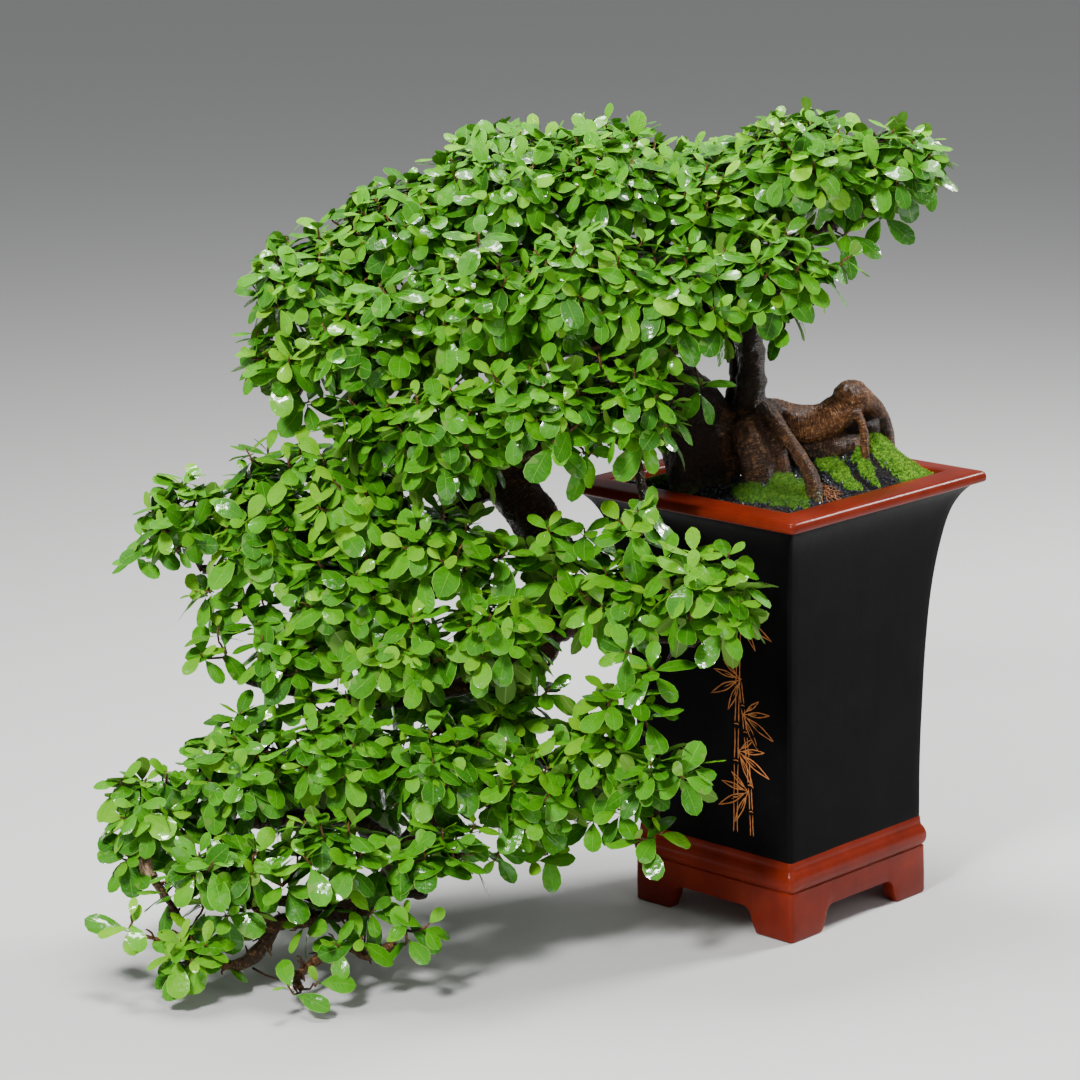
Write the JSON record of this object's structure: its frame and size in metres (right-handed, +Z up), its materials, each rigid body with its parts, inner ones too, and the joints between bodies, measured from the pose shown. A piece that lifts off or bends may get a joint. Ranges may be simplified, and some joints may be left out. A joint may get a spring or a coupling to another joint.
{
  "type": "cascade banyan bonsai",
  "caption": "Cascading small-leaved banyan bonsai whose arched trunk falls in leafy tiers beside its tall, flared square pot.",
  "frame": {"origin": "centre of the whole tree's and pot's bounding box, on the surface that the pot stands on", "axes": "+Z up; +X along the cascade's length, from its hanging tip towards the pot; the side that is looked at faces -Y, and the square pot is turned by 45 degrees, with a corner towards -Y"},
  "size_m": [0.8983, 0.5612, 0.8246],
  "materials": {
    "black_glaze": "satin",
    "red_glaze": "gloss",
    "incised_clay": "matte",
    "soil_and_moss": "matte",
    "moss": "matte",
    "mesh_plastic": "matte",
    "bark": "satin",
    "banyan_leaf": "gloss"
  },
  "bodies": {
    "root": {"pot": "black_glaze", "soil": "soil_and_moss", "drain_mesh": "mesh_plastic", "wood": "bark", "spray_crown_tip": "banyan_leaf", "spray_crown_ridge_a": "banyan_leaf", "spray_crown_ridge_b": "banyan_leaf", "spray_crown_ridge_c": "banyan_leaf", "spray_crown_ridge_d": "banyan_leaf", "spray_crown_ridge_e": "banyan_leaf", "spray_crown_left": "banyan_leaf", "spray_crown_left_low": "banyan_leaf", "spray_crown_front_a": "banyan_leaf", "spray_crown_front_b": "banyan_leaf", "spray_crown_front_c": "banyan_leaf", "spray_crown_front_d": "banyan_leaf", "spray_crown_front_e": "banyan_leaf", "spray_crown_fringe_a": "banyan_leaf", "spray_crown_fringe_b": "banyan_leaf", "spray_crown_fringe_c": "banyan_leaf", "spray_crown_fringe_d": "banyan_leaf", "spray_crown_back_a": "banyan_leaf", "spray_crown_back_b": "banyan_leaf", "spray_crown_back_c": "banyan_leaf", "spray_rim_cluster": "banyan_leaf", "spray_tier2_tip": "banyan_leaf", "spray_tier2_a": "banyan_leaf", "spray_tier2_b": "banyan_leaf", "spray_tier2_c": "banyan_leaf", "spray_tier2_d": "banyan_leaf", "spray_tier2_back": "banyan_leaf", "spray_knee_front": "banyan_leaf", "spray_mid_left": "banyan_leaf", "spray_mid_a": "banyan_leaf", "spray_mid_b": "banyan_leaf", "spray_mid_back": "banyan_leaf", "spray_mid_sprig": "banyan_leaf", "spray_pad_upper_a": "banyan_leaf", "spray_pad_upper_b": "banyan_leaf", "spray_pad_lower_a": "banyan_leaf", "spray_pad_lower_b": "banyan_leaf", "spray_pad_lower_tip": "banyan_leaf", "spray_tier3_top": "banyan_leaf", "spray_tier3_tip": "banyan_leaf", "spray_tier3_a": "banyan_leaf", "spray_tier3_b": "banyan_leaf", "spray_tier3_c": "banyan_leaf", "spray_tier3_d": "banyan_leaf", "spray_tier3_e": "banyan_leaf", "spray_tier3_f": "banyan_leaf", "spray_tier3_g": "banyan_leaf", "spray_tier3_back": "banyan_leaf", "spray_tier3_right": "banyan_leaf", "spray_low_tip": "banyan_leaf", "spray_low_left": "banyan_leaf", "spray_low_front": "banyan_leaf", "spray_low_right": "banyan_leaf", "spray_low_inner": "banyan_leaf"}
  },
  "joints": []
}
